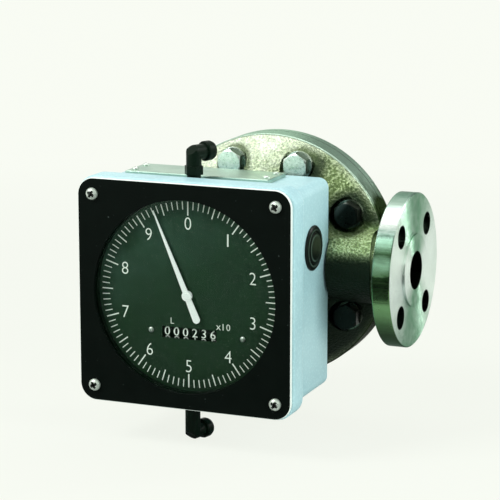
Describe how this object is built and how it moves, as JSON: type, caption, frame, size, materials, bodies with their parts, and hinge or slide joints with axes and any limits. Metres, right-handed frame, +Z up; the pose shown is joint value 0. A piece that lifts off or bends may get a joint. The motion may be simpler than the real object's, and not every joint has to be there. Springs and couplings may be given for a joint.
{
  "type": "rotary displacement flow meter",
  "caption": "Flanged rotary displacement flow meter with a square dial register, pointer and number counter.",
  "frame": {"origin": "centre of the inlet flange's raised face", "axes": "+X along the pipe from inlet to outlet, +Y from the dial towards the rear cover, +Z up"},
  "size_m": [0.224, 0.1551, 0.2112],
  "materials": {
    "stainless_casting": "satin, as cast",
    "zinc_steel": "satin",
    "bright_steel": "polished",
    "blue_grey_enamel": "satin enamel",
    "black_plate": "satin",
    "dial_enamel": "matt",
    "white_enamel": "satin",
    "black_plastic": "satin",
    "yellow_plastic": "gloss",
    "brass": "turned",
    "carbon_bush": "matt",
    "magnet": "matt",
    "window_glass": "clear",
    "rubber_seal": "matt",
    "bare_plate": "brushed"
  },
  "bodies": {
    "housing": {"meter_body": "stainless_casting", "rear_cover": "stainless_casting", "cover_o_ring": "rubber_seal", "cover_bolts": "zinc_steel", "spring_washers": "zinc_steel", "bearing_plate_front": "bright_steel", "bearing_plate_rear": "bright_steel", "front_bushes": "carbon_bush", "rear_bushes": "carbon_bush", "plate_screws": "zinc_steel", "register_case": "blue_grey_enamel", "case_gasket": "rubber_seal", "register_cover": "blue_grey_enamel", "bezel_gasket": "rubber_seal", "bezel_plate": "black_plate", "window_glass": "window_glass", "window_ring": "black_plastic", "bezel_screws": "zinc_steel", "case_screws": "zinc_steel", "dial_plate": "dial_enamel", "dial_screws": "zinc_steel", "movement_front_plate": "brass", "movement_back_plate": "brass", "movement_pillars": "brass", "movement_standoffs": "brass", "reduction_gearbox": "bright_steel", "counter_shaft": "bright_steel", "counter_frame": "bare_plate", "top_plate": "bare_plate", "top_plate_screws": "zinc_steel", "gland_top": "black_plastic", "gland_nut_top": "black_plastic", "gland_bottom": "black_plastic", "gland_nut_bottom": "black_plastic", "gland_plugs": "yellow_plastic", "side_plug": "black_plastic"},
    "rotor_low": {"rotor_lower": "bright_steel", "rotor_shaft_lower": "bright_steel", "timing_gear_lower": "bright_steel", "drive_magnet": "magnet"},
    "rotor_high": {"rotor_upper": "bright_steel", "rotor_shaft_upper": "bright_steel", "timing_gear_upper": "bright_steel"},
    "follower": {"follower_magnet": "magnet", "follower_arbor": "bright_steel"},
    "pinion": {"output_pinion": "brass"},
    "pointer_group": {"pointer": "white_enamel", "pointer_arbor": "bright_steel", "pointer_wheel": "brass"},
    "lay": {"lay_arbor": "brass", "counter_wheel": "brass"},
    "idler": {"tenth_idler": "brass"},
    "spindle": {"lay_spindle": "brass"},
    "drum_1": {"number_drum_1": "black_plastic"},
    "drum_2": {"number_drum_2": "black_plastic"},
    "drum_3": {"number_drum_3": "black_plastic"},
    "drum_4": {"number_drum_4": "black_plastic"},
    "drum_5": {"number_drum_5": "black_plastic"},
    "drum_6": {"number_drum_6": "black_plastic"}
  },
  "joints": [
    {"name": "rotor_low_spin", "type": "hinge", "parent": "housing", "child": "rotor_low", "pos_m": [0.112, 0.005, -0.02], "axis": [0, 1, 0], "continuous": true},
    {"name": "rotor_high_spin", "type": "hinge", "parent": "housing", "child": "rotor_high", "pos_m": [0.112, 0.005, 0.02], "axis": [0, 1, 0], "continuous": true},
    {"name": "follower_spin", "type": "hinge", "parent": "housing", "child": "follower", "pos_m": [0.112, -0.018, -0.02], "axis": [0, 1, 0], "continuous": true},
    {"name": "pinion_spin", "type": "hinge", "parent": "housing", "child": "pinion", "pos_m": [0.112, -0.058, -0.02], "axis": [0, 1, 0], "continuous": true},
    {"name": "pointer_spin", "type": "hinge", "parent": "housing", "child": "pointer_group", "pos_m": [0.09079, -0.058, -0.0106], "axis": [0, 1, 0], "continuous": true},
    {"name": "lay_spin", "type": "hinge", "parent": "housing", "child": "lay", "pos_m": [0.12712, -0.058, -0.0376], "axis": [0, 1, 0], "continuous": true},
    {"name": "idler_spin", "type": "hinge", "parent": "housing", "child": "idler", "pos_m": [0.11412, -0.062, -0.0376], "axis": [0, 1, 0], "continuous": true},
    {"name": "spindle_spin", "type": "hinge", "parent": "housing", "child": "spindle", "pos_m": [0.12712, -0.066, -0.0376], "axis": [0, 1, 0], "continuous": true},
    {"name": "drum_1_spin", "type": "hinge", "parent": "housing", "child": "drum_1", "pos_m": [0.10819, -0.0773, -0.0376], "axis": [1, 0, 0], "continuous": true},
    {"name": "drum_2_spin", "type": "hinge", "parent": "housing", "child": "drum_2", "pos_m": [0.10139, -0.0773, -0.0376], "axis": [1, 0, 0], "continuous": true},
    {"name": "drum_3_spin", "type": "hinge", "parent": "housing", "child": "drum_3", "pos_m": [0.09459, -0.0773, -0.0376], "axis": [1, 0, 0], "continuous": true},
    {"name": "drum_4_spin", "type": "hinge", "parent": "housing", "child": "drum_4", "pos_m": [0.08779, -0.0773, -0.0376], "axis": [1, 0, 0], "continuous": true},
    {"name": "drum_5_spin", "type": "hinge", "parent": "housing", "child": "drum_5", "pos_m": [0.08099, -0.0773, -0.0376], "axis": [1, 0, 0], "continuous": true},
    {"name": "drum_6_spin", "type": "hinge", "parent": "housing", "child": "drum_6", "pos_m": [0.07419, -0.0773, -0.0376], "axis": [1, 0, 0], "continuous": true}
  ],
  "couplings": [
    {"joint": "rotor_high_spin", "follows": "rotor_low_spin", "ratio": -1},
    {"joint": "follower_spin", "follows": "rotor_low_spin", "ratio": 1},
    {"joint": "pinion_spin", "follows": "rotor_low_spin", "ratio": 0.012346},
    {"joint": "pointer_spin", "follows": "rotor_low_spin", "ratio": -0.0055556},
    {"joint": "lay_spin", "follows": "rotor_low_spin", "ratio": -0.0055556},
    {"joint": "idler_spin", "follows": "rotor_low_spin", "ratio": 0.0016667},
    {"joint": "spindle_spin", "follows": "rotor_low_spin", "ratio": -0.00055556},
    {"joint": "drum_1_spin", "follows": "rotor_low_spin", "ratio": -0.00055556},
    {"joint": "drum_2_spin", "follows": "rotor_low_spin", "ratio": -0.000055556},
    {"joint": "drum_3_spin", "follows": "rotor_low_spin", "ratio": -0.0000055556},
    {"joint": "drum_4_spin", "follows": "rotor_low_spin", "ratio": -0.00000055556},
    {"joint": "drum_5_spin", "follows": "rotor_low_spin", "ratio": -0.000000055556},
    {"joint": "drum_6_spin", "follows": "rotor_low_spin", "ratio": -0.0000000055556}
  ]
}
